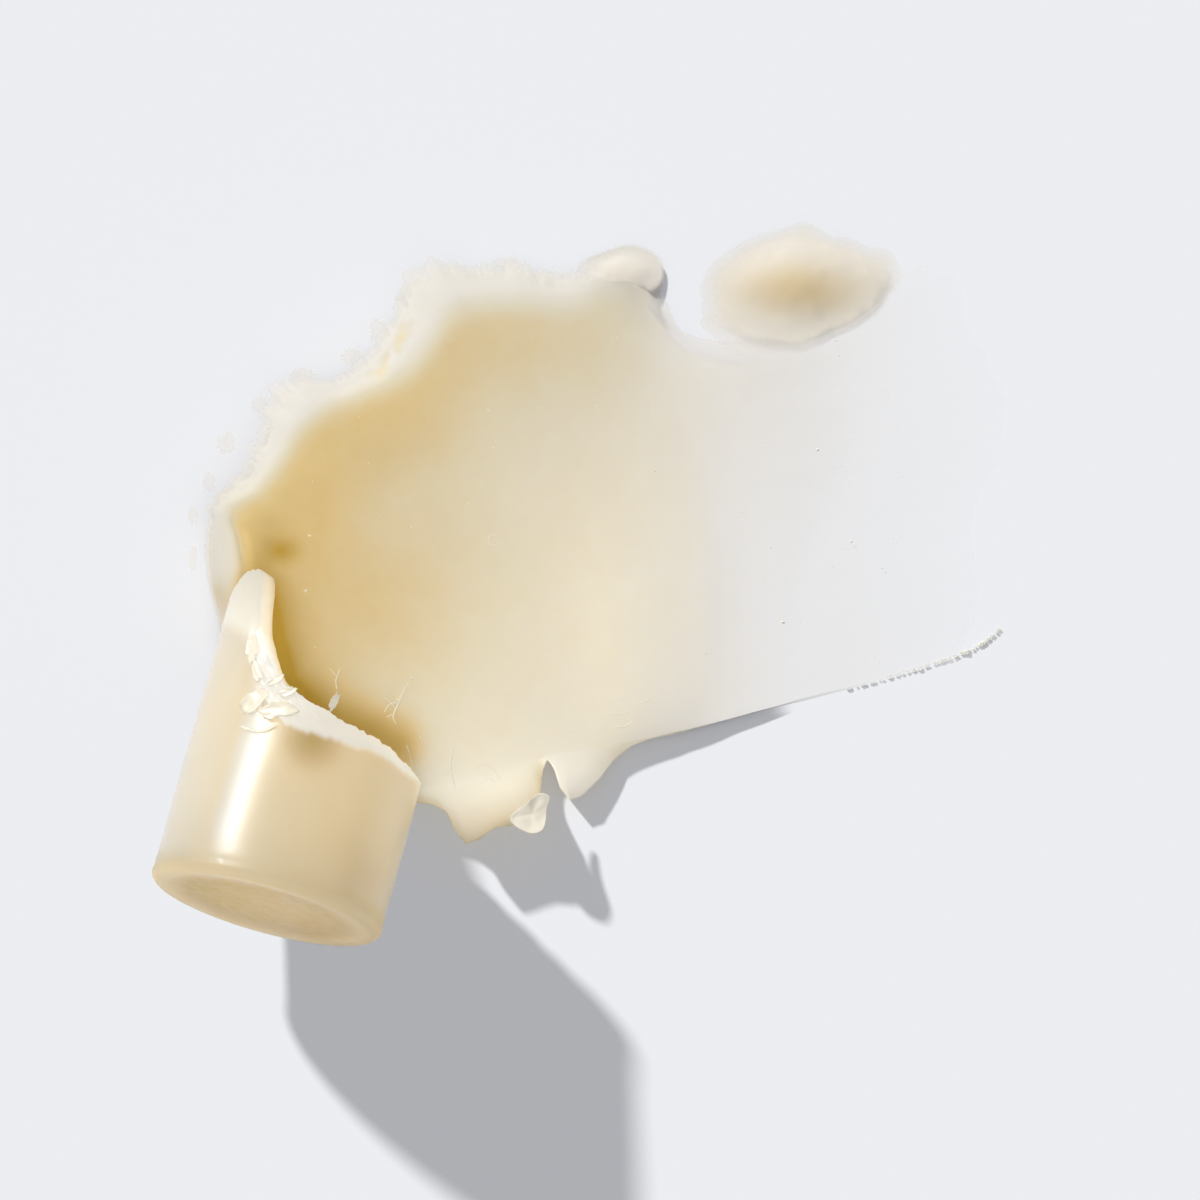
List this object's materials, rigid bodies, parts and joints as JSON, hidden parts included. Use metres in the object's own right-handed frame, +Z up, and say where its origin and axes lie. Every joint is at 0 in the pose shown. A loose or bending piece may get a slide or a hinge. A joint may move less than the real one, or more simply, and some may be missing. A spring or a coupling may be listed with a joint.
{
  "type": "anti-wrinkle balm stick core with smear",
  "caption": "Solid face-balm core torn off its stick, tipped flat end up on the thick smear, ridge and thin film it has spread.",
  "frame": {"origin": "on the floor plane, on the underside of the smear's bed, near the middle of the whole spread", "axes": "+Z up from the surface it lies on; +X along the stroke, from the stub towards the thin film; +Y across the stroke, towards the ploughed ridge"},
  "size_m": [0.0652, 0.0529, 0.0201],
  "materials": {
    "balm": "satin translucent wax",
    "torn_balm": "torn, slightly frosted wax",
    "balm_film": "thin see-through wax film"
  },
  "bodies": {
    "root": {"balm_stub": "balm", "dollop": "balm", "drip_tongue": "balm", "film_tooth_1": "torn_balm", "film_tooth_2": "torn_balm", "film_tooth_3": "torn_balm", "film_tooth_4": "torn_balm", "film_tooth_5": "torn_balm", "film_tooth_6": "torn_balm", "film_tooth_7": "torn_balm", "film_tooth_8": "torn_balm", "left_wall": "balm", "lifted_flap": "balm", "lower_ridge": "balm", "pale_flake": "torn_balm", "ridge_end": "balm", "rim_flake_1": "torn_balm", "rim_flake_10": "torn_balm", "rim_flake_11": "torn_balm", "rim_flake_2": "torn_balm", "rim_flake_3": "torn_balm", "rim_flake_4": "torn_balm", "rim_flake_5": "torn_balm", "rim_flake_6": "torn_balm", "rim_flake_7": "torn_balm", "rim_flake_8": "torn_balm", "rim_flake_9": "torn_balm", "smear_bed": "balm", "smear_film": "balm_film", "tear_burr": "torn_balm", "tear_shard_1": "torn_balm", "tear_shard_2": "torn_balm", "tear_shard_3": "torn_balm", "tear_shard_4": "torn_balm", "tear_shard_5": "torn_balm", "torn_tongue": "balm", "upper_ridge": "balm"}
  },
  "joints": []
}
